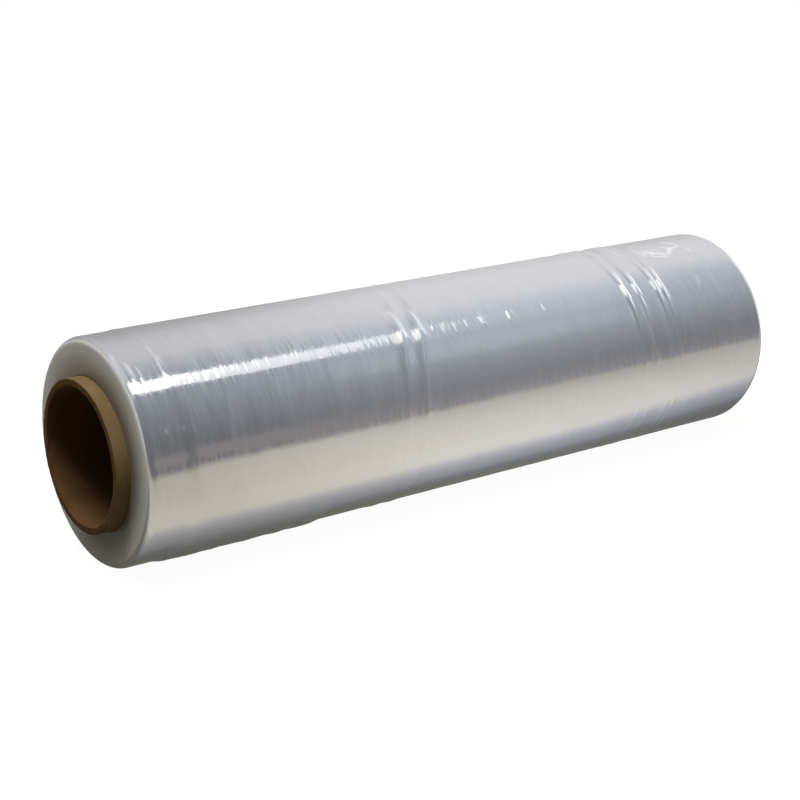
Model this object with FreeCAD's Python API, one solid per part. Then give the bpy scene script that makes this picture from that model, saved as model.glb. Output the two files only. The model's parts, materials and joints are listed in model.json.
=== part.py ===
import FreeCAD, Part
import math
import os

# A roll of clear stretch film, wound on a spiral-wound card tube and lying on its side.
# The roll's axis runs along X with its near end at -X, +Z is up, and the origin is on the
# floor under the middle of the roll. Sizes are in millimetres and angles in degrees.
# Angles round the roll start at the front (-Y) side, level with the axis, and grow upwards.

# Card tube
CORE_BORE_RADIUS = 38.0
CORE_WALL = 4.0
CORE_STAND_OUT = 8.0
CORE_EDGE_BREAK = 0.4

# Wound film
FILM_WIDTH = 450.0
WOUND_DEPTH = 21.0
CORNER_RADIUS = 4.0
END_RINGS = 3
END_RING_DEPTH = 0.3
FLAT_SPOT_WIDTH = 17.0

# The outer turns stop short of the near end, along a slightly leaning edge
OUTER_TURNS_THICKNESS = 0.5
OUTER_TURNS_EDGE = 25.0
OUTER_TURNS_LEAN = 4.5

# Loose end of the film, low on the front side
TAIL_START = 24.0
TAIL_WIDTH = 98.0
TAIL_LIFT = 1.2
TAIL_DIRECTION = -60.0
TAIL_EDGE_ANGLE = -50.0

# Folds that run round the roll: distance from the near end, lean, width and height
FOLDS = [
    (162.0, -11.0, 3.5, 0.45),
    (177.0, -9.0, 4.5, 0.55),
    (352.0, 1.0, 6.0, 0.40),
    (374.0, -1.5, 5.0, 0.35),
]

# How far a tool body reaches past what it cuts, and how deep a skin is rooted in the film
PASS = 5.0
ROOT = 2.0

core_radius = CORE_BORE_RADIUS + CORE_WALL
core_length = FILM_WIDTH + 2 * CORE_STAND_OUT
film_radius = core_radius + WOUND_DEPTH
near_radius = film_radius - OUTER_TURNS_THICKNESS
half_width = FILM_WIDTH / 2
axis_height = math.sqrt(film_radius ** 2 - (FLAT_SPOT_WIDTH / 2) ** 2)

ALONG_X = FreeCAD.Vector(1, 0, 0)
ALONG_Y = FreeCAD.Vector(0, 1, 0)
CENTRE = FreeCAD.Vector(0, 0, 0)


def at(x, radius):
    """A point of a lengthwise half section: x along the axis, radius away from it."""
    return FreeCAD.Vector(x, 0, radius)


def lines(points):
    """Straight edges through the points, in order."""
    return [Part.LineSegment(a, b).toShape() for a, b in zip(points, points[1:])]


def turned(edges):
    """The solid that a closed half section makes when it is turned about the axis."""
    wire = Part.Wire(edges)
    return Part.Face(wire).revolve(CENTRE, ALONG_X, 360)


def rod(radius, start, length):
    """A solid cylinder along the axis."""
    return Part.makeCylinder(radius, length, FreeCAD.Vector(start, 0, 0), ALONG_X)


def ring(outer, inner, start, length):
    """A plain ring round the axis."""
    return rod(outer, start, length).cut(rod(inner, start - PASS, length + 2 * PASS))


def leaning_slab(middle, lean, width):
    """A slab across the axis, turned about the cross axis so that its top leans along X."""
    size = 4 * film_radius
    corner = FreeCAD.Vector(middle - width / 2, -size / 2, -size / 2)
    slab = Part.makeBox(width, size, size, corner)
    slab.rotate(FreeCAD.Vector(middle, 0, 0), ALONG_Y, -lean)
    return slab


def end_face(side, top):
    """Points up one end face, from the bore to the corner: every second ring is set in."""
    step = (top - core_radius) / END_RINGS
    points = []
    for number in range(END_RINGS):
        rings_outside = END_RINGS - 1 - number
        x = side * (half_width - END_RING_DEPTH * (rings_outside % 2))
        points.append(at(x, core_radius + number * step))
        points.append(at(x, core_radius + (number + 1) * step))
    return points


def corner_arc(side, top):
    """The rounded outer corner at one end, from the end face to the outside of the film."""
    middle_x = side * (half_width - CORNER_RADIUS)
    middle_radius = top - CORNER_RADIUS
    lean = CORNER_RADIUS * math.sqrt(0.5)
    start = at(side * half_width, middle_radius)
    halfway = at(middle_x + side * lean, middle_radius + lean)
    end = at(middle_x, top)
    return Part.Arc(start, halfway, end).toShape()


def wound_film():
    """All turns of the film as one turned solid, a step lower at the near end."""
    shelf = CORNER_RADIUS - half_width
    step_up = shelf + CORNER_RADIUS
    near = end_face(-1, near_radius - CORNER_RADIUS)
    far = end_face(1, film_radius - CORNER_RADIUS)
    outside = [
        at(shelf, near_radius),
        at(step_up, near_radius),
        at(step_up, film_radius),
        at(half_width - CORNER_RADIUS, film_radius),
    ]
    edges = lines(near)
    edges.append(corner_arc(-1, near_radius))
    edges += lines(outside)
    edges.append(corner_arc(1, film_radius))
    edges += lines(far[::-1] + [near[0]])
    return turned(edges)


def short_outer_turns(film):
    """Takes the outer turns away between the near end and their leaning edge."""
    edge = OUTER_TURNS_EDGE - half_width
    waste_start = 2 * CORNER_RADIUS - half_width
    waste = ring(film_radius + PASS, near_radius, waste_start, film_radius)
    keep_length = 2 * film_radius
    keep = leaning_slab(edge + keep_length / 2, OUTER_TURNS_LEAN, keep_length)
    return film.cut(waste.cut(keep))


def fold(place, lean, width, height):
    """One fold: a low band of doubled film that runs round the roll."""
    middle = place - half_width
    band = ring(film_radius + height, film_radius - ROOT, middle - film_radius, 2 * film_radius)
    return band.common(leaning_slab(middle, lean, width))


def loose_tail():
    """The loose end of the film: it lifts off the front and is trapped under the roll."""
    start = TAIL_START - half_width
    direction = math.radians(TAIL_DIRECTION)
    flap = rod(film_radius, start, TAIL_WIDTH)
    lift = FreeCAD.Vector(0, -math.cos(direction), math.sin(direction))
    flap.translate(lift * TAIL_LIFT)
    flap = flap.cut(rod(film_radius - ROOT, start - PASS, TAIL_WIDTH + 2 * PASS))
    reach = 2 * film_radius
    top = film_radius * math.sin(math.radians(TAIL_EDGE_ANGLE))
    low_front = FreeCAD.Vector(start, -reach, top - reach)
    return flap.common(Part.makeBox(TAIL_WIDTH, reach, reach, low_front))


def film_roll():
    """The wound film with its folds and loose end, flattened where it rests."""
    film = short_outer_turns(wound_film())
    skins = [fold(*sizes) for sizes in FOLDS]
    skins.append(loose_tail())
    film = film.fuse(skins).removeSplitter()
    size = 4 * film_radius
    below = FreeCAD.Vector(-core_length / 2, -size / 2, -size - axis_height)
    return film.cut(Part.makeBox(core_length, size, size, below))


def core_tube():
    """The card tube, with its edges slightly broken where it was cut to length."""
    half = core_length / 2
    chamfered = half - CORE_EDGE_BREAK
    low = CORE_BORE_RADIUS + CORE_EDGE_BREAK
    high = core_radius - CORE_EDGE_BREAK
    outline = [
        at(-chamfered, CORE_BORE_RADIUS),
        at(-half, low),
        at(-half, high),
        at(-chamfered, core_radius),
        at(chamfered, core_radius),
        at(half, high),
        at(half, low),
        at(chamfered, CORE_BORE_RADIUS),
    ]
    return turned(lines(outline + outline[:1]))


def solid_of(shape):
    """The one solid that a shape holds, stood on the floor."""
    assert len(shape.Solids) == 1, "expected one solid, found %d" % len(shape.Solids)
    solid = shape.Solids[0]
    solid.translate(FreeCAD.Vector(0, 0, axis_height))
    return solid


def main():
    os.makedirs("parts", exist_ok=True)
    for name, make in (("core_tube", core_tube), ("film_roll", film_roll)):
        solid = solid_of(make())
        solid.exportStep("parts/%s.step" % name)
        box = solid.optimalBoundingBox()
        print(name, "valid", solid.isValid(), "volume %.0f mm3" % solid.Volume)
        print("  from", (round(box.XMin, 2), round(box.YMin, 2), round(box.ZMin, 2)))
        print("  to", (round(box.XMax, 2), round(box.YMax, 2), round(box.ZMax, 2)))


main()
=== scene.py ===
# %% [markdown]
# # A roll of clear stretch film, dressed in Blender
#
# The imported model gives two nodes at their real size: a card tube and the film that is wound on it.
# They are the frame of this scene. Each is replaced here by a piece with the detail that makes a
# film roll look like one: hundreds of fine ridges round it, a few real folds, the loose end, and
# the milky edges of all its turns at the two ends.
#
# The frame is loaded first, and its boxes give the sizes.

# %% Load the imported frame
import json
import math

import bpy
import numpy as np
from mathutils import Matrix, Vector


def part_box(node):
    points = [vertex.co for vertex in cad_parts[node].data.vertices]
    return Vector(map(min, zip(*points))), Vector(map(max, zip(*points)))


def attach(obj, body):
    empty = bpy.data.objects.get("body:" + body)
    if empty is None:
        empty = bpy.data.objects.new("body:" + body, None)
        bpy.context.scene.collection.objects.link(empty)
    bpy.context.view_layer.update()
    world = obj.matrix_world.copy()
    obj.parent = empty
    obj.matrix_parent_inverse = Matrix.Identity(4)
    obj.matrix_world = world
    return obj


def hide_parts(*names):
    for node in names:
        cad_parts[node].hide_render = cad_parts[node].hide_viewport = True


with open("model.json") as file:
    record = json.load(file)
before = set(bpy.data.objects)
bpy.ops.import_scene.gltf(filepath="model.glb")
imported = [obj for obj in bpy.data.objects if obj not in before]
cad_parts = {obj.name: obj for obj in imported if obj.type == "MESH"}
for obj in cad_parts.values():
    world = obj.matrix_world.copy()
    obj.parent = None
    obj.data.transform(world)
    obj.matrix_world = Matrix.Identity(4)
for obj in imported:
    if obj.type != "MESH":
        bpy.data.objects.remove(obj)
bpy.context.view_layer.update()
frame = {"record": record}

# %% [markdown]
# ## Sizes
#
# Everything hangs on the roll's axis. Its height and the tube's sizes are read from the frame, so
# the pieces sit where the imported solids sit. Blender works in metres, and MM turns a size in
# millimetres into metres. Angles round the roll start at the front, level with the axis, and grow
# upwards, so 90 degrees is the top and -90 degrees is the line it rests on. Places along the roll
# are measured from its near end. The film is pressed flat where it rests, so its radius is a
# little more than the height of its axis.

# %% Sizes from the frame
MM = 0.001
core_low, core_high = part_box("core_tube")
film_low, film_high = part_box("film_roll")
bore_mount = next(m for m in frame["record"]["mounts"] if m["name"] == "core_bore")

AXIS_HEIGHT = bore_mount["pos_m"][2]
BORE_RADIUS = bore_mount["dims"]["r_mm"] * MM
CORE_RADIUS = core_high.z - AXIS_HEIGHT
CORE_END = core_high.x
FILM_END = film_high.x
FLAT_SPOT = 17 * MM
FILM_RADIUS = math.hypot(AXIS_HEIGHT, FLAT_SPOT / 2)
CORNER = 4 * MM

print("film radius", FILM_RADIUS, "ends at", FILM_END)
print("tube radius", CORE_RADIUS, "ends at", CORE_END)

# %% [markdown]
# ## Small helpers
#
# Blender's operators act on whatever is selected, so each step starts by letting go of everything.

# %% Selecting
def let_go():
    """Nothing is selected after this."""
    bpy.ops.object.select_all(action="DESELECT")


def pick(piece):
    """Only this piece is selected and active after this."""
    let_go()
    piece.select_set(True)
    bpy.context.view_layer.objects.active = piece


def points_of(piece):
    """The vertices of a piece as an array of x, y, z."""
    flat = np.zeros(len(piece.data.vertices) * 3)
    piece.data.vertices.foreach_get("co", flat)
    return flat.reshape(-1, 3)


def set_points(piece, points):
    """Moves the vertices of a piece to these places."""
    piece.data.vertices.foreach_set("co", points.ravel())
    piece.data.update()


# %% [markdown]
# ## Turning a section on the lathe
#
# Tube and film are both round about one axis, so each is turned, as on a lathe. The section is a
# closed loop: a circle primitive with one vertex for each point, which are then put in their
# places. Spin turns it about the roll's axis. Where the last step meets the first, the doubled
# vertices are merged, and after that the normals are made to point outwards.

# %% Lathe
SPIN_STEPS = 180


def turned(name, section):
    """Turns a closed section of (x, radius) points about the roll's axis into a closed mesh."""
    let_go()
    bpy.ops.mesh.primitive_circle_add(vertices=len(section), radius=FILM_RADIUS)
    piece = bpy.context.object
    piece.name = name
    for vertex, (x, radius) in zip(piece.data.vertices, section):
        vertex.co = (x, 0.0, AXIS_HEIGHT + radius)
    bpy.ops.object.mode_set(mode="EDIT")
    bpy.ops.mesh.select_all(action="SELECT")
    centre = (0.0, 0.0, AXIS_HEIGHT)
    bpy.ops.mesh.spin(steps=SPIN_STEPS, angle=math.tau, center=centre, axis=(1, 0, 0))
    bpy.ops.mesh.select_all(action="SELECT")
    bpy.ops.mesh.remove_doubles(threshold=0.01 * MM)
    bpy.ops.mesh.normals_make_consistent(inside=False)
    bpy.ops.object.mode_set(mode="OBJECT")
    print(name, "turned:", len(piece.data.vertices), "vertices")
    return piece


# %% [markdown]
# ## The wound film: its section
#
# On the real roll the film is 0.02 mm thick and there are hundreds of turns, far too many to model
# one by one. What the eye sees of them is where they end. Each end face is a stack of fine rings
# that don't quite line up, so the section steps in and out by a few hundredths of a millimetre
# from ring to ring. Along the outside, the section's points become rings that go right round the
# roll. They are packed closely where a fold or an edge has to be crisp, and wider elsewhere.

# %% Places of the edge, the folds and the loose end
NEAR_EDGE = 27 * MM
MIDDLE_FOLDS = (163 * MM, 175.5 * MM)
FAR_FOLDS = (344.5 * MM, 354 * MM, 370 * MM, 375 * MM)
TAIL_FAR = 122 * MM
RING_SPACING = 1.45 * MM
FINE_SPACING = 0.5 * MM
FINE_REACH = 2.6 * MM
FACE_RINGS = 34
FACE_STEPS = 0.04 * MM
TUBE_GROOVE = 0.3 * MM
CORNER_STEPS = 6

dice = np.random.default_rng(7)


# %% Section points
def ring_places():
    """Places of the rings along the outside, from corner to corner, fine near each feature."""
    features = np.array((NEAR_EDGE, *MIDDLE_FOLDS, *FAR_FOLDS, TAIL_FAR)) - FILM_END
    places = [-FILM_END + CORNER]
    while places[-1] < FILM_END - CORNER:
        close = np.abs(features - places[-1]).min() < FINE_REACH
        places.append(places[-1] + (FINE_SPACING if close else RING_SPACING))
    places[-1] = FILM_END - CORNER
    return places


def face_points(side):
    """One end face from the tube outwards: rings that step in by a few hundredths."""
    radii = np.linspace(CORE_RADIUS, FILM_RADIUS - CORNER, FACE_RINGS)
    depths = dice.uniform(0.0, 1.0, FACE_RINGS) * FACE_STEPS
    depths[0] = TUBE_GROOVE
    depths[-1] = 0
    return [(side * (FILM_END - depth), radius) for depth, radius in zip(depths, radii)]


def corner_points(side):
    """The rounded corner between an end face and the outside."""
    points = []
    for number in range(1, CORNER_STEPS):
        angle = math.pi / 2 * number / CORNER_STEPS
        x = FILM_END - CORNER * (1 - math.cos(angle))
        points.append((side * x, FILM_RADIUS - CORNER * (1 - math.sin(angle))))
    return points


# %% Turn the film
places = ring_places()
outside = [(x, FILM_RADIUS) for x in places]
section = face_points(-1) + corner_points(-1) + outside
section += corner_points(1)[::-1] + face_points(1)[::-1]
film = turned("wound_film", section)
print("rings along the outside:", len(places))

# %% [markdown]
# ## A finer mesh where the creases are small
#
# Most creases run round the roll and follow its rings. A few are short and slanted: the crumpled
# patch near the far end and the pinches above the bright streak. The faces there are selected by
# their place and subdivided, so that the patch can hold a crease half a millimetre wide.

# %% Patches
# Each patch: from and to along the roll in millimetres, from and to round it in degrees
PATCHES = [
    ((378, 426), (64, 92)),
    ((2, 40), (40, 66)),
    ((10, 26), (20, 27)),
    ((164, 208), (40, 64)),
    ((226, 255), (40, 56)),
    ((273, 282), (42, 55)),
    ((402, 412), (38, 54)),
    ((340, 380), (41, 66)),
]
PATCH_CUTS = 2

# What lies less than this below the film's radius is still its outside
SKIN = 0.1 * MM


def places_and_angles(points):
    """How far along the roll and how far round it each point is, and its radius."""
    height = points[..., 2] - AXIS_HEIGHT
    angle = np.arctan2(height, -points[..., 1])
    return points[..., 0] + FILM_END, angle, np.hypot(points[..., 1], height)


def refine(piece, patches, cuts):
    """Subdivides the faces of the outside that lie in any of the patches."""
    centres = np.zeros(len(piece.data.polygons) * 3)
    piece.data.polygons.foreach_get("center", centres)
    place, angle, radius = places_and_angles(centres.reshape(-1, 3))
    inside = np.zeros(len(place), dtype=bool)
    for (start, end), (low, high) in patches:
        along = (place > start * MM) & (place < end * MM)
        around = (angle > math.radians(low)) & (angle < math.radians(high))
        inside |= along & around & (radius > FILM_RADIUS - SKIN)
    pick(piece)
    bpy.ops.object.mode_set(mode="EDIT")
    bpy.ops.mesh.select_mode(type="FACE")
    bpy.ops.mesh.select_all(action="DESELECT")
    bpy.ops.object.mode_set(mode="OBJECT")
    piece.data.polygons.foreach_set("select", inside)
    bpy.ops.object.mode_set(mode="EDIT")
    bpy.ops.mesh.subdivide(number_cuts=cuts)
    bpy.ops.object.mode_set(mode="OBJECT")
    print("subdivided", int(inside.sum()), "faces; now", len(piece.data.polygons))


refine(film, PATCHES, PATCH_CUTS)

# %% [markdown]
# ## The wound film: folds, ridges and the flat it lies on
#
# Stretch film never winds evenly. It is pulled tight round the roll, so most of its creases run
# round and not along. The vertices are moved in code, as with a sculpting brush, because the
# moves follow simple rules: how far along the roll a point is, and how far round it.
# First each ring is slid along the roll, so that the rings near a fold lean as that fold does.
# Then the surface is raised or lowered. A sum of seeded waves, short along the roll and long
# round it, gives the uneven winding. Last, what would be below the floor is pressed flat.

# %% Curves that the shapes are made of
def window(distance, reach):
    """1 at the middle, easing down to 0 at the reach on either side."""
    share = np.clip(1 - np.abs(distance) / reach, 0, 1)
    return share * share * (3 - 2 * share)


def step(value, start, end):
    """0 at the start, 1 at the end, and smooth in between."""
    share = np.clip((value - start) / (end - start), 0, 1)
    return share * share * (3 - 2 * share)


def ridge(place, top, near_width, far_width):
    """A fold's section: a rounded near side, and a crisp far side that eases away."""
    distance = place - top
    near = np.exp(-((distance / near_width) ** 2))
    far = np.exp(-np.abs(distance) / far_width)
    return np.where(distance < 0, near, far)


def waves(place, angle, count, lengths, turns, seed):
    """Seeded waves added up: a range of lengths along the roll, and of whole waves round it."""
    draw = np.random.default_rng(seed)
    total = np.zeros_like(angle)
    for _ in range(count):
        length = draw.uniform(*lengths)
        round_it = draw.integers(*turns)
        first, second = draw.uniform(0, math.tau, 2)
        total += np.sin(math.tau * place / length + first) * np.cos(round_it * angle + second)
    return total / math.sqrt(count / 4)


# %% Leaning of the edge and the folds
EDGE_LEAN = 3.0 * MM
EDGE_REACH = 20 * MM
FOLD_LEAN = 21 * MM
FOLD_REACH = 120 * MM
LEAN_RISES = (0.0, math.radians(100))
LEAN_FALLS = (math.radians(110), math.pi)


def slide_along(place, angle):
    """How far along the roll a point is moved, so that rings lean with the edge and the folds."""
    edge = -EDGE_LEAN * np.sin(angle) * window(place - NEAR_EDGE, EDGE_REACH)
    middle = sum(MIDDLE_FOLDS) / 2
    over_top = step(angle, *LEAN_RISES) - step(angle, *LEAN_FALLS)
    return edge + FOLD_LEAN * over_top * window(place - middle, FOLD_REACH)


# %% Ridges, folds and the step of the outer turns
# Each set of waves: how many, their lengths along the roll, whole waves round it, and the seed
BROAD_WAVES = (26, (16 * MM, 60 * MM), (0, 6), 11)
BROAD_HEIGHT = 0.030 * MM
FINE_WAVES = (50, (4.5 * MM, 10 * MM), (5, 20), 12)
FINE_HEIGHT = 0.006 * MM
FLUTTER_WAVES = (10, (1, 2), (2, 12), 13)
FLUTTER = 0.35

# The edge of the outer turns is a step, crisp on top and soft elsewhere. It rises between two
# shares of that softness, sinks deeper low on the front and curls up a little on top
EDGE_STEP = 0.35 * MM
EDGE_SHARPNESS = 0.3 * MM
EDGE_SOFTNESS = 5 * MM
EDGE_BELOW = -1
EDGE_ABOVE = 0.5
SHELF_DIP = 0.45 * MM
SHELF_DIP_MIDDLE = math.radians(18)
SHELF_DIP_REACH = math.radians(24)
EDGE_CURL = 0.14 * MM
CURL_INSET = 0.5 * MM
CURL_WIDTH = 1.6 * MM

# Heights of the folds, widths of their near and far sides, and the least share of the height.
# The middle folds swell so many times round the roll, the first time at their best place
MIDDLE_FOLD_HEIGHTS = (0.46 * MM, 0.42 * MM)
MIDDLE_FOLD_SIDES = (4.0 * MM, 2.2 * MM)
MIDDLE_FOLD_LEAST = 0.28
MIDDLE_FOLD_BEST = math.radians(50)
MIDDLE_FOLD_SWELLS = 3
FAR_FOLD_HEIGHTS = (0.46 * MM, 0.42 * MM, 0.44 * MM, 0.46 * MM)
FAR_FOLD_SIDES = (2.2 * MM, 2.4 * MM)
FAR_FOLD_LEAST = 0.30
FAR_FOLD_GROWS = (0.1, 0.7)


def share_from(least, share):
    """A share that never falls below the least."""
    return least + (1 - least) * share


def winding(place, angle):
    """The uneven winding and the folds that run round the roll."""
    relief = BROAD_HEIGHT * waves(place, angle, *BROAD_WAVES)
    relief += FINE_HEIGHT * waves(place, angle, *FINE_WAVES)
    flutter = 1 + FLUTTER * waves(0, angle, *FLUTTER_WAVES)
    crisp = np.maximum(np.sin(angle), 0) ** 2
    softness = EDGE_SHARPNESS + EDGE_SOFTNESS * (1 - crisp)
    edge = step((place - NEAR_EDGE) / softness, EDGE_BELOW, EDGE_ABOVE)
    dip = SHELF_DIP * window(angle - SHELF_DIP_MIDDLE, SHELF_DIP_REACH)
    relief += (EDGE_STEP + dip) * (edge - 1)
    curl = np.exp(-np.abs(place - NEAR_EDGE - CURL_INSET) / CURL_WIDTH)
    relief += EDGE_CURL * flutter * curl * edge * crisp
    swell = np.maximum(np.cos(MIDDLE_FOLD_SWELLS * (angle - MIDDLE_FOLD_BEST)), 0)
    strength = share_from(MIDDLE_FOLD_LEAST, swell)
    folds = np.zeros_like(place)
    for top, height in zip(MIDDLE_FOLDS, MIDDLE_FOLD_HEIGHTS):
        folds = np.maximum(folds, height * strength * ridge(place, top, *MIDDLE_FOLD_SIDES))
    strength = share_from(FAR_FOLD_LEAST, step(np.sin(angle), *FAR_FOLD_GROWS))
    for top, height in zip(FAR_FOLDS, FAR_FOLD_HEIGHTS):
        folds = np.maximum(folds, height * strength * ridge(place, top, *FAR_FOLD_SIDES))
    return relief + folds


# %% [markdown]
# ## The loose end
#
# The last bit of film isn't stuck down. Low on the front it stands a millimetre off the roll, and
# underneath, the roll's weight traps it. It could be a thin sheet of its own, but a sheet would
# need a far finer mesh to follow the roll so closely. So this part of the winding is raised, with
# a sharp step at the far side, and a ripple along it.

# %% The loose end, low on the front
TAIL_NEAR = 21 * MM
TAIL_TOP = math.radians(-40)
TAIL_FULL = math.radians(-62)
TAIL_BOTTOM = math.radians(-88)
TAIL_LIFT = 1.15 * MM
TAIL_SINKS = 0.6
TAIL_SLANT = 6 * MM
TAIL_SLANT_END = math.radians(-75)
TAIL_NEAR_SIDE = (-2 * MM, 4 * MM)
TAIL_FAR_SIDE = 0.8 * MM
TAIL_BACK = math.radians(-120)
TAIL_TRAPPED = (math.radians(92), math.radians(112))
RIPPLE_WAVES = (14, (8 * MM, 30 * MM), (2, 14), 21)
RIPPLE_HEIGHT = 0.12 * MM


def loose_end(place, angle):
    """The end of the film: it stands off the roll until the roll's weight traps it."""
    sunk = TAIL_SINKS * step(-angle, -TAIL_FULL, -TAIL_BOTTOM)
    lifted = TAIL_LIFT * (1 - sunk) + RIPPLE_HEIGHT * waves(place, angle, *RIPPLE_WAVES)
    far = TAIL_FAR - TAIL_SLANT * step(-angle, -TAIL_TOP, -TAIL_SLANT_END)
    near_side = step(place - TAIL_NEAR, *TAIL_NEAR_SIDE)
    far_side = step(far - place, 0, TAIL_FAR_SIDE)
    around = step(-angle, -TAIL_TOP, -TAIL_FULL) * (angle > TAIL_BACK)
    trapped = step(-angle, *TAIL_TRAPPED)
    return lifted * near_side * far_side * around * (1 - trapped)


# %% [markdown]
# ## Short creases and specks
#
# Where the film was gathered it has short slanted creases, and where it has come loose it looks
# white, which the colour gives partly as the real whiteness of loose film and partly as a painted
# highlight. Bump in the material could suggest them, but real relief also catches the light when it
# is seen from another side. Each crease is a line of a few points, and the vertices within its
# width are raised. How loose the film is there, with its painted highlight, is kept in the mesh as
# an attribute, which the material reads.

# %% Short creases
# Each crease: its points as (millimetres from the near end, degrees round), its width and height
# in millimetres, and how far the film stands loose there, which makes it whiter, partly as loose
# film is and partly as a painted highlight. A height of 0 is film that has come loose along a fold
# and rises no further, and shows there only as that whiter painted highlight
CREASES = [
    ([(381.5, 81.0), (383.6, 73.0)], 0.9, 0.36, 1.0),
    ([(387.0, 79.5), (389.5, 72.5)], 0.9, 0.36, 1.0),
    ([(391.0, 78.5), (394.5, 72.0)], 1.0, 0.36, 1.0),
    ([(395.5, 79.0), (398.5, 73.0)], 0.9, 0.36, 1.0),
    ([(384.6, 76.0), (391.0, 74.5), (402.0, 70.0)], 1.2, 0.42, 1.0),
    ([(402.0, 70.0), (408.0, 76.0), (419.3, 78.5)], 1.3, 0.46, 1.0),
    ([(419.3, 78.5), (418.5, 82.0), (413.0, 87.5)], 1.1, 0.44, 1.0),
    ([(405.0, 80.0), (411.0, 75.5)], 0.9, 0.36, 0.9),
    ([(388.0, 71.5), (393.0, 69.5), (399.0, 69.0)], 0.9, 0.32, 0.8),
    ([(421.7, 73.5), (421.5, 70.0)], 0.9, 0.30, 1.0),
    ([(407.9, 50.5), (406.1, 42.0)], 0.9, 0.13, 0.25),
    ([(24.2, 62.0), (23.7, 55.0), (24.2, 48.0)], 1.0, 0.26, 0.6),
    ([(10.3, 58.0), (10.6, 54.0), (10.8, 49.5)], 0.8, 0.20, 0.4),
    ([(5.8, 62.0), (6.0, 56.0), (6.3, 50.0)], 1.1, 0.24, 0.7),
    ([(173.4, 64.0), (174.8, 52.0), (177.2, 43.0)], 1.5, 0.24, 1.0),
    ([(170.5, 58.0), (171.6, 50.0)], 1.2, 0.05, 0.5),
    ([(186.2, 62.5), (187.9, 51.6), (190.1, 43.5)], 1.3, 0.20, 1.0),
    ([(182.5, 33.0), (178.0, 18.0), (177.0, 3.0)], 1.2, 0.05, 0.25),
    ([(172.4, 63.0), (173.6, 52.0), (176.0, 44.0)], 2.4, 0.0, 1.0),
    ([(185.6, 61.0), (186.9, 51.6), (189.0, 44.5)], 1.8, 0.0, 1.0),
    ([(346.8, 63.5), (344.0, 53.0), (344.8, 45.0)], 1.4, 0.0, 0.8),
    ([(355.4, 61.0), (354.2, 52.0), (354.7, 45.0)], 1.3, 0.0, 0.7),
    ([(372.0, 61.5), (370.4, 53.2), (370.0, 45.0)], 1.2, 0.0, 0.7),
    ([(376.5, 60.5), (375.1, 52.4), (374.3, 44.0)], 1.3, 0.0, 0.8),
    ([(196.4, 55.0), (194.4, 47.0)], 0.8, 0.18, 0.3),
    ([(204.0, 55.0), (203.6, 49.5)], 0.6, 0.12, 0.2),
    ([(230.3, 52.0), (231.0, 47.5), (232.8, 43.0)], 1.2, 0.24, 0.6),
    ([(250.8, 52.0), (250.0, 43.0)], 0.9, 0.20, 0.4),
    ([(277.4, 52.0), (277.9, 45.0)], 0.8, 0.18, 0.2),
    ([(347.8, 64.0), (344.9, 53.0), (345.5, 44.5)], 0.9, 0.18, 0.9),
    ([(356.3, 61.5), (355.0, 52.0), (355.4, 44.5)], 0.9, 0.18, 0.8),
    ([(354.2, 41.0), (352.0, 24.0), (354.0, 8.0)], 0.9, 0.03, 0.25),
    ([(13.3, 24.6), (13.3, 22.4)], 0.7, 0.10, 1.0),
    ([(23.6, 24.2), (23.6, 22.2)], 0.6, 0.08, 0.8),
    ([(372.9, 62.0), (371.2, 53.2), (370.7, 44.5)], 0.8, 0.18, 0.8),
    ([(377.3, 61.0), (375.9, 52.4), (375.0, 43.5)], 0.8, 0.18, 0.9),
]


# A crease is a rounded bump in section, and along it fades towards its two ends
FADE_START = 0.06
FADE_BLUNTNESS = 0.6


def creased(place, angle):
    """How far the short creases raise each point, and how loose the film is there, which also carries
    a painted highlight.
    """
    around = angle * FILM_RADIUS
    relief = np.zeros_like(place)
    looseness_and_highlight = np.zeros_like(place)
    for path, width, height, loose_and_highlight in CREASES:
        corners = [np.array((x * MM, math.radians(turn) * FILM_RADIUS)) for x, turn in path]
        steps = [np.hypot(*(b - a)) for a, b in zip(corners, corners[1:])]
        total = sum(steps)
        best = np.zeros_like(place)
        done = 0.0
        for start, end, length in zip(corners, corners[1:], steps):
            direction = (end - start) / length
            along = (place - start[0]) * direction[0] + (around - start[1]) * direction[1]
            along = np.clip(along, 0, length)
            gap_x = place - start[0] - along * direction[0]
            gap_y = around - start[1] - along * direction[1]
            distance = np.hypot(gap_x, gap_y)
            share = FADE_START + (1 - 2 * FADE_START) * (done + along) / total
            fade = np.sin(math.pi * share) ** FADE_BLUNTNESS
            best = np.maximum(best, fade * np.exp(-((distance / (width * MM)) ** 2)))
            done += length
        relief = np.maximum(relief, best * height * MM)
        looseness_and_highlight = np.maximum(looseness_and_highlight, best * loose_and_highlight)
    return relief, looseness_and_highlight


# %% Move the vertices
MOST_RAISED = 0.52 * MM
CORNER_KEEP = 0.4 * MM
FILM_SHARP_ANGLE = math.radians(40)


def wound(piece):
    """Slides and raises the outside of the film, then presses its underside flat on the floor."""
    points = points_of(piece)
    place, angle, radius = places_and_angles(points)
    outer = step(radius, FILM_RADIUS - CORNER, FILM_RADIUS - SKIN)
    relief = winding(place, angle)
    points[:, 0] += outer * slide_along(place, angle)
    limit = FILM_END - np.where(outer < 1, 0, CORNER_KEEP)
    points[:, 0] = np.clip(points[:, 0], -limit, limit)
    place = points[:, 0] + FILM_END
    creases, looseness_and_highlight = creased(place, angle)
    relief = np.minimum(relief + creases, MOST_RAISED)
    radius += outer * (relief + loose_end(place, angle))
    points[:, 1] = -radius * np.cos(angle)
    points[:, 2] = np.maximum(AXIS_HEIGHT + radius * np.sin(angle), 0.0)
    set_points(piece, points)
    # The looseness, which the material turns into whiter film: partly loose film's own whiteness,
    # partly a painted highlight
    loose_and_highlight = piece.data.attributes.new("loose_and_highlight", "FLOAT", "POINT")
    loose_and_highlight.data.foreach_set("value", outer * looseness_and_highlight)
    print(piece.name, "wound: relief from", relief.min(), "to", relief.max())


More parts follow.
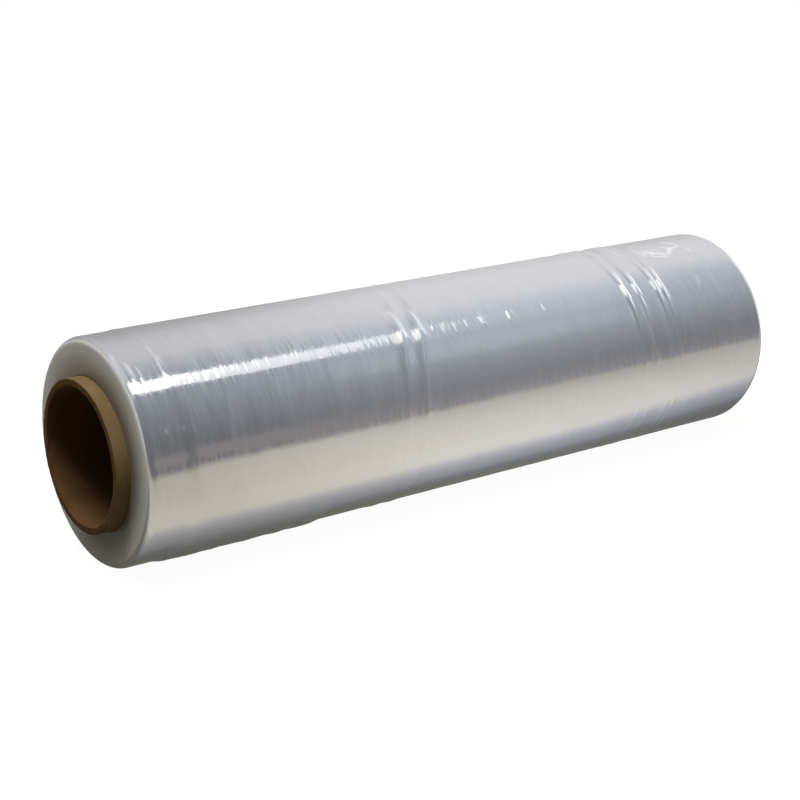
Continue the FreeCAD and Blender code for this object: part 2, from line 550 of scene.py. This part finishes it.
wound(film)
pick(film)
bpy.ops.object.shade_smooth_by_angle(angle=FILM_SHARP_ANGLE)

# %% [markdown]
# ## The card tube
#
# The tube is wound from strips of brown card. It was sawn to length, so its rims are square with
# slightly softened edges. It is turned from a section like the film, with the softened edges in
# the section, and the rims are then made a little uneven, as a saw leaves card.

# %% Tube section
RIM_SOFTNESS = 0.45 * MM
TUBE_RINGS = 60
RIM_RINGS = 6


def tube_section():
    """A closed section of the tube, with softened rims."""
    straight = np.linspace(RIM_SOFTNESS - CORE_END, CORE_END - RIM_SOFTNESS, TUBE_RINGS)
    bend = RIM_SOFTNESS * (1 - math.sqrt(0.5))
    outer = [(x, CORE_RADIUS) for x in straight]
    inner = [(x, BORE_RADIUS) for x in straight[::-1]]
    across = np.linspace(CORE_RADIUS - RIM_SOFTNESS, BORE_RADIUS + RIM_SOFTNESS, RIM_RINGS)
    far = [(CORE_END - bend, CORE_RADIUS - bend)]
    far += [(CORE_END, radius) for radius in across]
    far += [(CORE_END - bend, BORE_RADIUS + bend)]
    near = [(-x, radius) for x, radius in far[::-1]]
    return outer + far + inner + near


# %% Turn the tube
SAW_MARKS = 0.12 * MM
SAW_WAVES = (24, (2 * MM, 9 * MM), (3, 40), 31)
TUBE_SHARP_ANGLE = math.radians(50)

tube = turned("card_tube", tube_section())
rim_points = points_of(tube)
_, rim_angle, rim_radius = places_and_angles(rim_points)
on_rim = np.abs(rim_points[:, 0]) > CORE_END - RIM_SOFTNESS
uneven = waves(rim_radius, rim_angle, *SAW_WAVES)
sunk = SAW_MARKS * np.abs(uneven) * on_rim * np.sign(rim_points[:, 0])
rim_points[:, 0] -= sunk
set_points(tube, rim_points)
pick(tube)
bpy.ops.object.shade_smooth_by_angle(angle=TUBE_SHARP_ANGLE)
print("saw marks up to", np.abs(sunk).max())

# %% [markdown]
# ## Shader maths as expressions
#
# A pattern is easier to read as arithmetic than as a web of nodes. The class below wraps one
# socket. Adding or multiplying such values adds the Math nodes for it, and one more method adds
# a node of any other type.

# %% A value that varies over a surface
# The Mix node has sockets for every type of data. These are the numbers of those for colours
MIX_SHARE = 0
MIX_FIRST = 6
MIX_SECOND = 7
MIX_RESULT = 2


class Value:
    """One socket of a material. Arithmetic on it adds Math nodes."""

    def __init__(self, socket):
        self.socket = socket
        self.tree = socket.id_data

    def node(self, kind, inputs, output=0, stops=(), **settings):
        """Adds a node: its settings are set first, then the values or links of its sockets."""
        made = self.tree.nodes.new(kind)
        for name, setting in settings.items():
            setattr(made, name, setting)
        if stops:
            points = made.color_ramp.elements
            while len(points) < len(stops):
                points.new(1.0)
            for point, (position, colour) in zip(points, stops):
                point.position = position
                point.color = (*colour, 1.0)
        for name, value in inputs.items():
            socket = made.inputs[name]
            if isinstance(value, Value):
                self.tree.links.new(value.socket, socket)
            elif socket.type == "RGBA":
                socket.default_value = (*value, 1.0)
            else:
                socket.default_value = value
        return Value(made.outputs[output])

    def math(self, operation, *others):
        """A Math node with this value first."""
        inputs = dict(enumerate((self, *others)))
        return self.node("ShaderNodeMath", inputs, operation=operation)

    def between(self, start, end):
        """0 where this value is at the start, 1 at the end, smooth in between."""
        inputs = {"Value": self, "From Min": start, "From Max": end}
        return self.node("ShaderNodeMapRange", inputs, interpolation_type="SMOOTHSTEP")

    def mix(self, first, second):
        """Two colours mixed by this value."""
        inputs = {MIX_SHARE: self, MIX_FIRST: first, MIX_SECOND: second}
        return self.node("ShaderNodeMix", inputs, MIX_RESULT, data_type="RGBA")

    def ramp(self, stops):
        """A colour that changes with this value."""
        return self.node("ShaderNodeValToRGB", {"Fac": self}, stops=stops)

    def __add__(self, other):
        return self.math("ADD", other)

    def __sub__(self, other):
        return self.math("SUBTRACT", other)

    def __rsub__(self, other):
        return self.node("ShaderNodeMath", {0: other, 1: self}, operation="SUBTRACT")

    def __mul__(self, other):
        return self.math("MULTIPLY", other)

    __radd__ = __add__
    __rmul__ = __mul__


# %% Starting a material
def new_material(name):
    """A material, its main shader, and the surface's place about the roll's axis."""
    material = bpy.data.materials.new(name)
    material.use_nodes = True
    nodes = material.node_tree.nodes
    place = Value(nodes.new("ShaderNodeTexCoord").outputs["Object"])
    inputs = {"Vector": place, "Location": (0.0, 0.0, -AXIS_HEIGHT)}
    return material, nodes["Principled BSDF"], place.node("ShaderNodeMapping", inputs)


def feed(shader, name, value):
    """Links a varying value to one of the main shader's sockets."""
    value.tree.links.new(value.socket, shader.inputs[name])


def feed_relief(shader, height, strength):
    """Turns a height in metres into small relief of the surface."""
    inputs = {"Height": height, "Distance": 1.0, "Strength": strength}
    feed(shader, "Normal", height.node("ShaderNodeBump", inputs))


def parts_of(place):
    """The three parts of a place, each as a value."""
    first = place.node("ShaderNodeSeparateXYZ", {"Vector": place})
    return [Value(output) for output in first.socket.node.outputs]


def off_axis_of(place):
    """The distance from the roll's axis."""
    flat = place.node("ShaderNodeVectorMath", {0: place, 1: (0.0, 1.0, 1.0)}, operation="MULTIPLY")
    return flat.node("ShaderNodeVectorMath", {0: flat}, 1, operation="LENGTH")


def turn_of(across, up):
    """Degrees round the roll, from the front upwards."""
    return up.math("ARCTAN2", across * -1) * (180 / math.pi)


def grain(place, along, around, detail=2.0, roughness=0.5):
    """Noise with so many grains to the metre along the roll, and so many round it."""
    inputs = {"Vector": place, "Scale": (along, around, around)}
    stretched = place.node("ShaderNodeMapping", inputs)
    inputs = {"Vector": stretched, "Scale": 1.0, "Detail": detail, "Roughness": roughness}
    return place.node("ShaderNodeTexNoise", inputs)


# %% [markdown]
# ## Film finish
#
# Clear film is colourless, but hundreds of layers of it throw most light back, so the outside of
# the roll looks like brushed silver: it mirrors the room, smeared by the fine ridges of the
# winding. Metallic gives that mirror better than a glass shader, which would have to trace
# hundreds of layers. Noise that is short along the roll and long round it makes the ridges. They
# are highest in a band along the upper front, where the film is puckered, and there the light
# breaks up into teeth. The film is whiter where the mesh says that it has come loose: partly the
# real whiteness of loose film, partly a painted highlight along the folds.
#
# The ends show the layers edge on, where light sinks in: they are milky, with painted shade that
# darkens them by the tube and painted light that makes them lighter at the rounded rim. Fine rings
# in them are a sine of the distance from the axis, made to wander a little by soft noise.

# %% Film colours
SILVER = (0.63, 0.63, 0.665)
BRIGHT_SILVER = (0.65, 0.647, 0.677)
# Loose film is whiter: partly its own whiteness, partly a painted highlight along the folds
LOOSE_FILM_AND_HIGHLIGHT = (0.93, 0.93, 0.95)
# The end faces from the tube out to the rim: milky film, with painted shade by the tube and painted
# light at the rim
MILKY_SHADE_AND_RIM_LIGHT_STOPS = [
    (0.0, (0.24, 0.21, 0.175)),
    (0.20, (0.38, 0.35, 0.30)),
    (0.55, (0.60, 0.58, 0.53)),
    (0.80, (0.76, 0.745, 0.70)),
    (1.0, (0.93, 0.915, 0.88)),
]
MILKY_RIM = 0.3 * MM
RING_SHADE = (0.1, 0.1, 0.1)
RING_SHADE_SHARE = 0.07

# %% Film relief and gloss
# Grains to the metre along the roll and round it, detail and roughness of the noise
RIDGES = (520.0, 60.0, 3.0, 0.55)
FINE_RIDGES = (1500.0, 140.0, 2.0, 0.5)
BROAD_RIDGES = (90.0, 22.0, 2.0, 0.5)
TEETH = (330.0, 40.0, 1.0, 0.5)
WANDER = (40.0, 40.0, 1.0)
RIDGE_RELIEF = 0.018 * MM
FINE_RELIEF = 0.004 * MM
BROAD_RELIEF = 0.04 * MM
TEETH_RELIEF = 0.022 * MM
PUCKER_RELIEF = 0.115 * MM
RING_RELIEF = 0.015 * MM
RING_WANDER = 6.0
RING_RADIANS_PER_METRE = 2600.0

# Where the puckered band starts and ends, in degrees round the roll
PUCKER_STARTS = (38.0, 44.0)
PUCKER_ENDS = (52.0, 60.0)

# Where the side gives way to the end face, measured back from the end
END_FACE_STARTS = 1.3 * MM
END_FACE_FULL = 0.35 * MM

GRAIN_MIDDLE = (0.3, 0.7)
SIDE_METALLIC = 0.84
LEAST_METALLIC = 0.02
SIDE_ROUGHNESS = 0.105
RIDGE_ROUGHNESS = 0.11
PUCKER_GLOSS = 0.045
END_ROUGHNESS = 0.38

# The Attribute node gives a colour, a direction and a single number, and this is the number's place
ATTRIBUTE_NUMBER = 2


# %% Film material
def film_material():
    """Brushed silver along the side, whiter where loose with a painted highlight, and milky layers at
    the two ends, with painted shade by the tube and painted light at the rim.
    """
    material, shader, place = new_material("clear_film")
    along, across, up = parts_of(place)
    off_axis = off_axis_of(place)
    from_middle = along.math("ABSOLUTE")
    end_face = from_middle.between(FILM_END - END_FACE_STARTS, FILM_END - END_FACE_FULL)
    side = 1 - end_face
    ridges = grain(place, *RIDGES)
    rings = grain(place, *WANDER) * RING_WANDER + off_axis * RING_RADIANS_PER_METRE
    rings = rings.math("SINE") * 0.5 + 0.5
    turn = turn_of(across, up)
    puckered = turn.between(*PUCKER_STARTS) * (1 - turn.between(*PUCKER_ENDS))

    silver = ridges.between(*GRAIN_MIDDLE).mix(SILVER, BRIGHT_SILVER)
    # Whiter where loose: partly loose film's own whiteness, partly a painted highlight along the
    # folds
    loose_and_highlight = place.node("ShaderNodeAttribute", {}, ATTRIBUTE_NUMBER, attribute_name="loose_and_highlight")
    silver = loose_and_highlight.mix(silver, LOOSE_FILM_AND_HIGHLIGHT)
    # Milky film with painted shade by the tube and painted light towards the rim
    milky_shade_and_rim_light = off_axis.between(CORE_RADIUS, FILM_RADIUS - MILKY_RIM).ramp(MILKY_SHADE_AND_RIM_LIGHT_STOPS)
    milky_shade_and_rim_light = (rings * RING_SHADE_SHARE).mix(milky_shade_and_rim_light, RING_SHADE)
    feed(shader, "Base Color", end_face.mix(silver, milky_shade_and_rim_light))
    feed(shader, "Metallic", side * SIDE_METALLIC + LEAST_METALLIC)

    smeared = ridges.between(*GRAIN_MIDDLE) * RIDGE_ROUGHNESS + SIDE_ROUGHNESS
    smeared = smeared - puckered * PUCKER_GLOSS
    feed(shader, "Roughness", smeared * side + end_face * END_ROUGHNESS)

    height = ridges * RIDGE_RELIEF + grain(place, *FINE_RIDGES) * FINE_RELIEF
    height = height + grain(place, *BROAD_RIDGES) * BROAD_RELIEF
    height = height + grain(place, *TEETH) * (puckered * PUCKER_RELIEF + TEETH_RELIEF)
    height = height * side + rings * end_face * RING_RELIEF
    feed_relief(shader, height, 1.0)
    return material


film.data.materials.clear()
film.data.materials.append(film_material())
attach(film, "root")
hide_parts("film_roll")
print("film:", len(film.data.polygons), "faces")

# %% [markdown]
# ## Card finish
#
# Brown card is matt and fibrous. The outer ply is the paler one, and its seam runs round the
# tube as a helix: a point is on it where its distance along the tube, less its share of a turn
# times the pitch, is a whole number of pitches. The bore and the sawn rims are darker.

# %% Card colours
SEAM_PITCH = 92 * MM
PALE_CARD = ((0.218, 0.142, 0.063), (0.257, 0.175, 0.083))
DARK_CARD = ((0.116, 0.060, 0.023), (0.152, 0.082, 0.033))
FIBRE = (0.26, 0.195, 0.115)
SEAM = (0.055, 0.035, 0.019)
SEAM_SHARE = 0.4
SEAM_WIDTH = (0.004, 0.012)
SEAM_DEPTH = 0.12 * MM
FIBRES = (240.0, 900.0, 4.0, 0.65)
FIBRE_SHARE = 0.45
FIBRE_HEIGHT = 0.05 * MM
PALE_FIBRES = (0.55, 0.85)
BLOTCHES = (60.0, 60.0, 3.0, 0.6)
OUTER_PLY = 0.5 * MM
OUTER_PLY_EDGE = 0.1 * MM
CARD_ROUGHNESS = 0.72
FIBRE_ROUGHNESS = 0.2
CARD_RELIEF = 0.8
CARD_SHEEN = 0.12


# %% Card material
def card_material():
    """Matt brown card with pale fibres, darker in the bore, and the seam of its spiral."""
    material, shader, place = new_material("core_card")
    along, across, up = parts_of(place)
    turn = up.math("ARCTAN2", across) * (1 / math.tau)
    phase = (along * (1 / SEAM_PITCH) - turn).math("FRACT")
    seam = 1 - (phase - 0.5).math("ABSOLUTE").between(*SEAM_WIDTH)
    fibres = grain(place, *FIBRES)
    blotches = grain(place, *BLOTCHES).between(*GRAIN_MIDDLE)
    outer = off_axis_of(place).between(CORE_RADIUS - OUTER_PLY, CORE_RADIUS - OUTER_PLY_EDGE)
    card = outer.mix(blotches.mix(*DARK_CARD), blotches.mix(*PALE_CARD))
    card = (fibres.between(*PALE_FIBRES) * FIBRE_SHARE).mix(card, FIBRE)
    card = (seam * SEAM_SHARE).mix(card, SEAM)
    feed(shader, "Base Color", card)
    feed(shader, "Roughness", fibres * FIBRE_ROUGHNESS + CARD_ROUGHNESS)
    feed_relief(shader, fibres * FIBRE_HEIGHT - seam * SEAM_DEPTH, CARD_RELIEF)
    shader.inputs["Specular IOR Level"].default_value = CARD_SHEEN
    return material


tube.data.materials.clear()
tube.data.materials.append(card_material())
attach(tube, "root")
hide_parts("core_tube")
print("tube:", len(tube.data.polygons), "faces")

# %% [markdown]
# ## Floor and world
#
# The floor and the world are white for the camera, for mirrors and for glass. For soft light the
# world is a plain dome, brighter upwards and dimmer at the near left, as the room in the
# photograph is. Colours come out about as they are written, and the floor keeps a soft shadow.

# %% White for rays that see it directly
def seen_directly(tree):
    """1 for rays from the camera, a mirror or glass, and 0 for soft light."""
    outputs = tree.nodes.new("ShaderNodeLightPath").outputs
    camera_ray = Value(outputs["Is Camera Ray"])
    seen = camera_ray + Value(outputs["Is Glossy Ray"]) + Value(outputs["Is Transmission Ray"])
    return seen.math("MINIMUM", 1.0)


# %% Floor
FLOOR_SIZE = 12.0
FLOOR_LIFT = 0.95
FLOOR_TONE = (0.17, 0.16, 0.14)

let_go()
bpy.ops.mesh.primitive_plane_add(size=FLOOR_SIZE)
floor = bpy.context.object
floor.name = "floor"
floor_material = bpy.data.materials.new("white_floor")
floor_material.use_nodes = True
floor_shader = floor_material.node_tree.nodes["Principled BSDF"]
floor_shader.inputs["Base Color"].default_value = (*FLOOR_TONE, 1.0)
floor_shader.inputs["Roughness"].default_value = 1.0
floor_shader.inputs["Specular IOR Level"].default_value = 0.0
floor_shader.inputs["Emission Color"].default_value = (1.0, 1.0, 1.0, 1.0)
feed(floor_shader, "Emission Strength", seen_directly(floor_material.node_tree) * FLOOR_LIFT)
floor.data.materials.append(floor_material)
print("floor", FLOOR_SIZE, "m wide")

# %% World
# The dome's brightness level with the floor, how much it rises towards the top, and how much of
# it is lost towards the dim side, which lies this much along and across the roll
DOME_LOW = 0.03
DOME_RISE = 0.42
DOME_DIM = 0.6
DIM_SIDE_ALONG = -0.85
DIM_SIDE_ACROSS = -0.53
DIM_SIDE_FULL = 0.8

world = bpy.data.worlds.new("studio")
bpy.context.scene.world = world
world.use_nodes = True
world.cycles.sampling_method = "NONE"
world_tree = world.node_tree
direction = Value(world_tree.nodes.new("ShaderNodeTexCoord").outputs["Generated"])
dome_along, dome_across, dome_up = parts_of(direction)
dome = dome_up.math("MAXIMUM", 0.0) * DOME_RISE + DOME_LOW
dim_side = dome_along * DIM_SIDE_ALONG + dome_across * DIM_SIDE_ACROSS
dome = dome * (1 - dim_side.between(0.0, DIM_SIDE_FULL) * DOME_DIM)
direct = seen_directly(world_tree)
strength = direct + (1 - direct) * dome
background = world_tree.nodes["Background"]
background.inputs["Color"].default_value = (1.0, 1.0, 1.0, 1.0)
feed(background, "Strength", strength)
print("dome from", DOME_LOW, "to", DOME_LOW + DOME_RISE)

# %% [markdown]
# ## What the roll mirrors
#
# A shiny thing looks like what stands round it. In the photograph the roll lies on a pale warm
# table that ends a little way in front of it. Beyond that edge is a dim room, getting lighter
# upwards until it meets a white ceiling, and a strip light hangs in front of the ceiling. A part
# of the room is lighter, like an opening, and a low part is a warmer smudge. Far off to either
# side it is bright, like a window and a lamp. Only the flanks of the folds look there, and that
# makes them shine.
#
# In a studio all this is sheets of paper on stands. Here it is cards that glow with the
# brightness that such paper has, and that only mirrors and glass see.

# %% Cards
TABLE_EDGE = 0.44
ROOM_RADIUS = 4.0
CARD_LENGTH = 16.0
CARD_HEIGHT = 0.4 * MM
CURTAIN_STEPS = 60


def glowing_card(card, name, colour_at):
    """Gives a card a glow worked out from its place, and hides it from all but mirrors."""
    material = bpy.data.materials.new(name)
    material.use_nodes = True
    tree = material.node_tree
    tree.nodes.clear()
    out = tree.nodes.new("ShaderNodeOutputMaterial")
    place = Value(tree.nodes.new("ShaderNodeTexCoord").outputs["Object"])
    glow = place.node("ShaderNodeEmission", {"Color": colour_at(*parts_of(place))})
    tree.links.new(glow.socket, out.inputs["Surface"])
    material.cycles.emission_sampling = "NONE"
    card.data.materials.append(material)
    card.name = name
    card.visible_camera = False
    card.visible_diffuse = False
    card.visible_shadow = False


def curtain(side, top_degrees):
    """A long card: flat from the table's edge outwards, then curved up round the roll."""
    let_go()
    bpy.ops.mesh.primitive_plane_add(size=1)
    card = bpy.context.object
    for vertex in card.data.vertices:
        x = math.copysign(CARD_LENGTH / 2, vertex.co.x)
        y = side * (ROOM_RADIUS if vertex.co.y > 0 else TABLE_EDGE)
        vertex.co = (x, y, CARD_HEIGHT)
    bpy.ops.object.mode_set(mode="EDIT")
    bpy.ops.mesh.select_mode(type="EDGE")
    bpy.ops.mesh.select_all(action="DESELECT")
    bpy.ops.object.mode_set(mode="OBJECT")
    for edge in card.data.edges:
        ends = [card.data.vertices[number].co for number in edge.vertices]
        edge.select = all(abs(end.y) > ROOM_RADIUS / 2 for end in ends)
    bpy.ops.object.mode_set(mode="EDIT")
    angle = -side * math.radians(top_degrees)
    centre = (0, 0, CARD_HEIGHT)
    bpy.ops.mesh.spin(steps=CURTAIN_STEPS, angle=angle, center=centre, axis=(1, 0, 0))
    bpy.ops.object.mode_set(mode="OBJECT")
    print("curtain up to", max(vertex.co.z for vertex in card.data.vertices))
    return card


# %% [markdown]
# ## The room
#
# The roll is a long round mirror: each line along it looks up at one angle. So the room is drawn
# as one colour for each angle above the roll's axis, with a colour ramp, and then made dimmer or
# lighter in a few places. A picture of a room would do as well, but this needs no file and each
# number in it can be changed by hand.

# %% Brightness of the room by height angle
RAMP_START = -20.0
RAMP_SPAN = 140.0
FRONT_TOP = 106
BACK_TOP = 74

# The room is dimmer at its near end, less so high up than low down, and a little dimmer at its
# far end: places along the roll in metres, degrees round it, and shares of the brightness
DIM_ENDS = (1.55, 3.0)
DIM_LOW = 0.46
DIM_HIGH = 0.24
FRONT_HIGH_FROM = 75.0
BACK_HIGH_FROM = 10.0
HIGH_SPAN = 50.0
FAR_DIM_STARTS = (3.5, 4.1)
FAR_DIM = 0.12

# Parts of the room that differ. Each fades in between its first two numbers and out between its
# last two, in metres along the roll and in degrees round it
OPENING_WIDE = (2.3, 2.7, 3.35, 3.7)
OPENING_HIGH = (38.0, 44.0, 54.0, 61.0)
OPENING_LIFT = 0.25
SMUDGE_WIDE = (0.8, 1.2, 2.15, 2.5)
SMUDGE_HIGH = (-13.0, -9.0, 3.0, 8.0)
SMUDGE = (0.44, 0.39, 0.37)
SMUDGE_SHARE = 0.6
WINDOW_WIDE = (5.4, 6.0, 9.0, 9.5)
WINDOW_HIGH = (60.0, 66.0, 103.0, 108.0)
LAMP_WIDE = (-0.9, -0.4, 5.0, 6.0)
LAMP_SHARE = 0.25
WINDOW = (1.6, 1.6, 1.65)


def room_stops(rows):
    """Ramp stops from rows of degrees above the roll's axis and a colour."""
    return [((degrees - RAMP_START) / RAMP_SPAN, colour) for degrees, colour in rows]


FRONT_ROOM = room_stops([
    (-12, (0.46, 0.45, 0.445)),
    (-7, (0.40, 0.395, 0.39)),
    (-3, (0.35, 0.35, 0.36)),
    (4, (0.315, 0.32, 0.335)),
    (12, (0.30, 0.315, 0.335)),
    (25, (0.36, 0.385, 0.41)),
    (41, (0.45, 0.50, 0.54)),
    (57, (0.56, 0.62, 0.68)),
    (73, (0.66, 0.74, 0.79)),
    (89, (0.77, 0.84, 0.89)),
    (97, (0.86, 0.91, 0.95)),
    (106, (1.0, 1.0, 1.0)),
])
BACK_ROOM = room_stops([
    (-12, (0.64, 0.645, 0.655)),
    (3, (0.70, 0.705, 0.715)),
    (12, (0.76, 0.765, 0.77)),
    (20, (0.84, 0.84, 0.84)),
    (35, (0.97, 0.97, 0.97)),
    (50, (1.0, 1.0, 1.0)),
])


def zone(along, turn, wide, high):
    """1 inside a part of a curtain and 0 outside, from four places along and four turns up."""
    length = along.between(wide[0], wide[1]) * (1 - along.between(wide[2], wide[3]))
    height = turn.between(high[0], high[1]) * (1 - turn.between(high[2], high[3]))
    return length * height


def room_colour(side, stops, high_from):
    """The colour of a curtain: it changes with height, and is dimmer towards its two ends."""
    def colour_at(along, across, up):
        turn = turn_of(across * -side, up - AXIS_HEIGHT)
        off_axis = (across * across + up * up).math("SQRT")
        along = along * ROOM_RADIUS * off_axis.math("POWER", -1.0)
        share = (turn - RAMP_START) * (1 / RAMP_SPAN)
        high = turn.between(high_from, high_from + HIGH_SPAN)
        dim = (1 - along.between(*DIM_ENDS)) * (DIM_LOW - high * (DIM_LOW - DIM_HIGH))
        dim = dim + along.between(*FAR_DIM_STARTS) * (1 - high) * FAR_DIM
        colour = dim.mix(share.ramp(stops), (0.0, 0.0, 0.0))
        smudge = zone(along, turn, SMUDGE_WIDE, SMUDGE_HIGH) * SMUDGE_SHARE
        colour = smudge.mix(colour, SMUDGE)
        opening = zone(along, turn, OPENING_WIDE, OPENING_HIGH) * OPENING_LIFT
        colour = opening.mix(colour, (1.0, 1.0, 1.0))
        beyond = zone(along, turn, WINDOW_WIDE, WINDOW_HIGH)
        before = zone(along * -1, turn, LAMP_WIDE, WINDOW_HIGH) * LAMP_SHARE
        return (beyond + before).mix(colour, WINDOW)
    return colour_at


front = curtain(-1, FRONT_TOP)
glowing_card(front, "front_room", room_colour(-1.0, FRONT_ROOM, FRONT_HIGH_FROM))
back_card = curtain(1, BACK_TOP)
glowing_card(back_card, "back_room", room_colour(1.0, BACK_ROOM, BACK_HIGH_FROM))

# %% [markdown]
# ## The table
#
# Low on its side the roll mirrors the table. The table is a glowing card, and close by, the roll's
# shadow is painted into its glow. Further out it is bright and warm, and it gets dim at its edge.
# One colour ramp follows the distance from the roll, and it is multiplied by a second one along the
# roll, which paints uneven light along it.

# %% Table
# The glow's colours by distance from the roll, darkest where the roll's shadow is painted close to
# it, and the tones of painted light along it that they are multiplied by
TABLE_LENGTH = 4.0
TABLE_GLOW_AND_SHADOW_ROWS = [
    (0.030, (0.20, 0.20, 0.185)),
    (0.038, (0.245, 0.25, 0.255)),
    (0.044, (0.385, 0.405, 0.435)),
    (0.050, (0.475, 0.495, 0.53)),
    (0.058, (0.67, 0.68, 0.70)),
    (0.068, (1.04, 1.01, 0.95)),
    (0.085, (1.05, 1.01, 0.91)),
    (0.110, (0.98, 0.935, 0.84)),
    (0.160, (0.89, 0.86, 0.77)),
    (0.220, (0.81, 0.78, 0.70)),
    (0.310, (0.77, 0.74, 0.66)),
    (0.360, (0.41, 0.39, 0.375)),
]
TABLE_SLANT = 0.20
SLANT_ENDS = (0.08, 0.3)
TABLE_GAIN = 1.06
# Painted unevenness of the light along the table
TABLE_PAINTED_LIGHT_TONES = [
    (-0.16, (0.77, 0.75, 0.69)),
    (-0.12, (0.85, 0.83, 0.77)),
    (-0.06, (0.93, 0.915, 0.86)),
    (0.00, (1.0, 1.0, 0.97)),
    (0.08, (1.0, 1.0, 0.99)),
    (0.20, (0.92, 0.92, 0.92)),
    (0.30, (0.80, 0.80, 0.80)),
]


def table_glow_and_painted_shadow(along, across, up):
    """The table's glow: bright, with the roll's shadow painted into it close to the roll."""
    slant = 1 - along.between(*SLANT_ENDS) * TABLE_SLANT
    share = across.math("ABSOLUTE") * slant * (1 / TABLE_EDGE)
    # The first rows are the roll's painted shadow on the glowing table
    rows = share.ramp([(distance / TABLE_EDGE, colour) for distance, colour in TABLE_GLOW_AND_SHADOW_ROWS])
    start, end = TABLE_PAINTED_LIGHT_TONES[0][0], TABLE_PAINTED_LIGHT_TONES[-1][0]
    share = (along - start) * (1 / (end - start))
    tones = share.ramp([
        ((place - start) / (end - start), [TABLE_GAIN * part for part in tone])
        for place, tone in TABLE_PAINTED_LIGHT_TONES
    ])
    settings = {"data_type": "RGBA", "blend_type": "MULTIPLY"}
    inputs = {MIX_SHARE: 1.0, MIX_FIRST: rows, MIX_SECOND: tones}
    return rows.node("ShaderNodeMix", inputs, MIX_RESULT, **settings)


let_go()
bpy.ops.mesh.primitive_plane_add(size=1)
table = bpy.context.object
for vertex in table.data.vertices:
    x = math.copysign(TABLE_LENGTH / 2, vertex.co.x)
    vertex.co = (x, math.copysign(TABLE_EDGE, vertex.co.y), CARD_HEIGHT)
glowing_card(table, "table", table_glow_and_painted_shadow)
print("table", TABLE_LENGTH, "by", 2 * TABLE_EDGE, "m")

# %% [markdown]
# ## The strip light
#
# The bright streak along the upper front is the reflection of a strip light. It could be one
# more card, but an area light is sampled on purpose, so its reflection in a slightly rough
# surface has less noise. Its last length is weaker, and the streak fades there as it does in the
# photograph.

# %% Strip light
STRIP_REACH = 3.0
STRIP_NEAR = -1.5
STRIP_FAR = 1.42
STRIP_TIP = 1.97
STRIP_MIDDLE = math.radians(73)
STRIP_SPREAD = math.radians(15)
STRIP_RADIANCE = 1.8
TIP_SHARE = 0.45
STRIP_COLOUR = (1.0, 0.985, 0.925)


def area_light(name, radiance, length, width, place, turn, colour=(1.0, 1.0, 1.0)):
    """An area light of a given brightness, whatever its size."""
    lamp = bpy.data.objects.new(name, bpy.data.lights.new(name, "AREA"))
    bpy.context.scene.collection.objects.link(lamp)
    lamp.data.shape = "RECTANGLE"
    lamp.data.color = colour
    lamp.data.size = length
    lamp.data.size_y = width
    lamp.data.energy = radiance * math.pi * length * width
    lamp.location = place
    lamp.rotation_euler = turn
    lamp.visible_camera = False
    print(name, length, "by", width, "energy", lamp.data.energy)
    return lamp


def strip_part(name, radiance, near, far):
    """One length of the strip light, at its height in front of the ceiling."""
    width = 2 * STRIP_REACH * math.tan(STRIP_SPREAD / 2)
    across = -STRIP_REACH * math.cos(STRIP_MIDDLE)
    up = AXIS_HEIGHT + STRIP_REACH * math.sin(STRIP_MIDDLE)
    turn = (STRIP_MIDDLE - math.pi / 2, 0.0, 0.0)
    place = ((near + far) / 2, across, up)
    area_light(name, radiance, far - near, width, place, turn, STRIP_COLOUR)


strip_part("strip_light", STRIP_RADIANCE, STRIP_NEAR, STRIP_FAR)
strip_part("strip_tip", STRIP_RADIANCE * TIP_SHARE, STRIP_FAR, STRIP_TIP)

# %% [markdown]
# ## The key light
#
# A second light hangs high over the near end. It falls a little way into the tube and leaves the
# rest of the bore dark. Mirrors don't see it, as it has no part in what the film shows.

# %% Key light
KEY_DIRECTION = Vector((-0.255, -0.11, 0.96)).normalized()
KEY_REACH = 2.5
KEY_SIZE = 0.7
KEY_RADIANCE = 21.0

key_turn = KEY_DIRECTION.to_track_quat("Z", "Y").to_euler()
key_place = KEY_DIRECTION * KEY_REACH
key_light = area_light("key_light", KEY_RADIANCE, KEY_SIZE, KEY_SIZE, key_place, key_turn)
key_light.visible_glossy = False

# %% [markdown]
# ## Camera
#
# The camera stands where the photograph was taken from: about 1 m away, to the left and a little
# above, with the near end towards it.

# %% Camera
CAMERA_AZIMUTH = math.radians(-36.70)
CAMERA_ELEVATION = math.radians(16.98)
CAMERA_DISTANCE = 1.0262
CAMERA_LENS = 77.42
SENSOR = 36.0
AIM = Vector((-22.3 * MM, 0.0, 55.32 * MM))

back = Vector((
    math.sin(CAMERA_AZIMUTH) * math.cos(CAMERA_ELEVATION),
    -math.cos(CAMERA_AZIMUTH) * math.cos(CAMERA_ELEVATION),
    math.sin(CAMERA_ELEVATION),
))
camera = bpy.data.objects.new("camera", bpy.data.cameras.new("camera"))
bpy.context.scene.collection.objects.link(camera)
camera.data.lens = CAMERA_LENS
camera.data.sensor_width = SENSOR
camera.location = AIM + back * CAMERA_DISTANCE
camera.rotation_euler = (-back).to_track_quat("-Z", "Y").to_euler()
bpy.context.scene.camera = camera
bpy.context.scene.view_settings.view_transform = "Standard"
print("camera at", tuple(camera.location))
